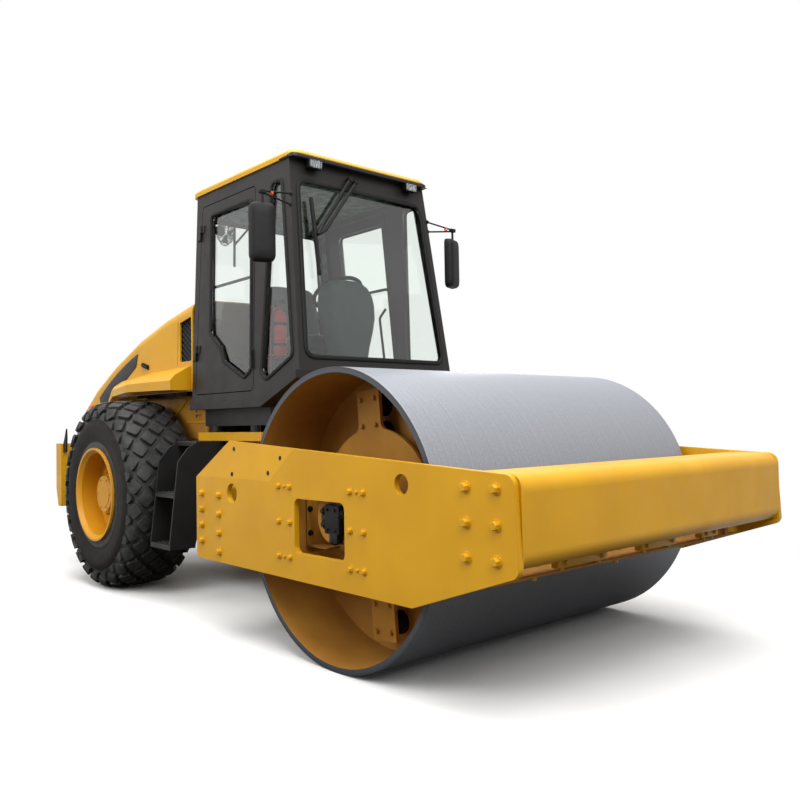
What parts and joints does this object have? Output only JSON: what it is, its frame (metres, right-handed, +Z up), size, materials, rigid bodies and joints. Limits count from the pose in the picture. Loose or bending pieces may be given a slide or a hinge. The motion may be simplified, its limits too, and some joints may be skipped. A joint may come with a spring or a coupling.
{
  "type": "road roller",
  "caption": "Single-drum ride-on road roller: smooth drum in a yoke frame, articulated centre joint, enclosed cab, tilting hood and a driven tyred axle.",
  "frame": {"origin": "on the ground under the middle of the whole machine's length and width", "axes": "+X forward towards the drum, +Y to the machine's left, +Z up"},
  "size_m": [5.77, 2.3, 3.007],
  "materials": {
    "yellow_paint": "satin",
    "drum_steel": "worn satin",
    "dark_paint": "semi-matt",
    "black_paint": "semi-matt",
    "rim_paint": "satin",
    "tyre_rubber": "matt",
    "buffer_rubber": "matt",
    "tinted_glass": "clear",
    "rod_chrome": "polished",
    "cast_iron": "rough",
    "black_plastic": "matt",
    "lamp_plastic": "clear",
    "orange_plastic": "clear",
    "seat_cloth": "woven"
  },
  "bodies": {
    "body": {"rear_frame": "yellow_paint", "rear_bumper": "black_paint", "rear_axle": "cast_iron", "engine_block": "cast_iron", "side_tanks": "yellow_paint", "cab_floor": "dark_paint", "cab_side_right": "dark_paint", "cab_side_left": "dark_paint", "cab_front": "dark_paint", "cab_rear": "dark_paint", "cab_roof": "dark_paint", "roof_cap": "yellow_paint", "windscreen": "tinted_glass", "fixed_glass": "tinted_glass", "seat": "seat_cloth", "steering_stand": "black_plastic", "mirrors": "black_plastic", "work_lamps": "lamp_plastic", "steps": "black_paint"},
    "hood": {"hood": "yellow_paint", "fenders": "yellow_paint", "hood_grilles": "black_plastic", "marker_lamps": "orange_plastic"},
    "door_right": {"door_right": "dark_paint", "door_glass_right": "tinted_glass"},
    "door_left": {"door_left": "dark_paint", "door_glass_left": "tinted_glass"},
    "yoke": {"centre_yoke": "cast_iron"},
    "front_frame": {"side_plate_right": "yellow_paint", "side_plate_left": "yellow_paint", "front_beam": "yellow_paint", "cross_beam": "yellow_paint", "scrapers": "black_paint", "drum_carriers": "black_paint"},
    "drum": {"drum_shell": "drum_steel", "drive_plate": "yellow_paint", "drum_buffers": "buffer_rubber"},
    "wheel_right": {"rim_right": "rim_paint", "tyre_right": "tyre_rubber"},
    "wheel_left": {"rim_left": "rim_paint", "tyre_left": "tyre_rubber"},
    "barrel_right": {"cylinder_barrel_right": "yellow_paint"},
    "barrel_left": {"cylinder_barrel_left": "yellow_paint"},
    "rod_right": {"cylinder_rod_right": "rod_chrome"},
    "rod_left": {"cylinder_rod_left": "rod_chrome"}
  },
  "joints": [
    {"name": "steer", "type": "hinge", "parent": "body", "child": "yoke", "pos_m": [0.115, 0, 0.7], "axis": [0, 0, 1], "range_deg": [-33, 33]},
    {"name": "oscillate", "type": "hinge", "parent": "yoke", "child": "front_frame", "pos_m": [0.115, 0, 0.7], "axis": [1, 0, 0], "range_deg": [-10, 10]},
    {"name": "drum_spin", "type": "hinge", "parent": "front_frame", "child": "drum", "pos_m": [1.615, 0, 0.7615], "axis": [0, 1, 0], "continuous": true},
    {"name": "wheel_right_spin", "type": "hinge", "parent": "body", "child": "wheel_right", "pos_m": [-1.385, -0.82, 0.724], "axis": [0, 1, 0], "continuous": true},
    {"name": "wheel_left_spin", "type": "hinge", "parent": "body", "child": "wheel_left", "pos_m": [-1.385, 0.82, 0.724], "axis": [0, 1, 0], "continuous": true},
    {"name": "door_right_swing", "type": "hinge", "parent": "body", "child": "door_right", "pos_m": [-0.555, -0.68302, 1.405], "axis": [0, -0.0528, -0.9986], "range_deg": [0, 90]},
    {"name": "door_left_swing", "type": "hinge", "parent": "body", "child": "door_left", "pos_m": [-0.555, 0.68302, 1.405], "axis": [0, -0.0528, 0.9986], "range_deg": [0, 90]},
    {"name": "hood_tilt", "type": "hinge", "parent": "body", "child": "hood", "pos_m": [-2.815, 0, 1.165], "axis": [0, -1, 0], "range_deg": [0, 60]},
    {"name": "barrel_right_swing", "type": "hinge", "parent": "body", "child": "barrel_right", "pos_m": [-0.635, -0.29, 0.774], "axis": [0, 0, 1], "range_deg": [-2, 2]},
    {"name": "rod_right_slide", "type": "slide", "parent": "barrel_right", "child": "rod_right", "axis": [0.9999, 0.0148, 0], "range_m": [-0.158, 0.158]},
    {"name": "barrel_left_swing", "type": "hinge", "parent": "body", "child": "barrel_left", "pos_m": [-0.635, 0.29, 0.774], "axis": [0, 0, 1], "range_deg": [-2, 2]},
    {"name": "rod_left_slide", "type": "slide", "parent": "barrel_left", "child": "rod_left", "axis": [0.9999, -0.0148, 0], "range_m": [-0.158, 0.158]}
  ],
  "couplings": [
    {"joint": "barrel_right_swing", "follows": "steer", "ratio": 0.049},
    {"joint": "barrel_left_swing", "follows": "steer", "ratio": 0.049},
    {"joint": "rod_right_slide", "follows": "steer", "m_per_rad": 0.268},
    {"joint": "rod_left_slide", "follows": "steer", "m_per_rad": -0.268}
  ]
}
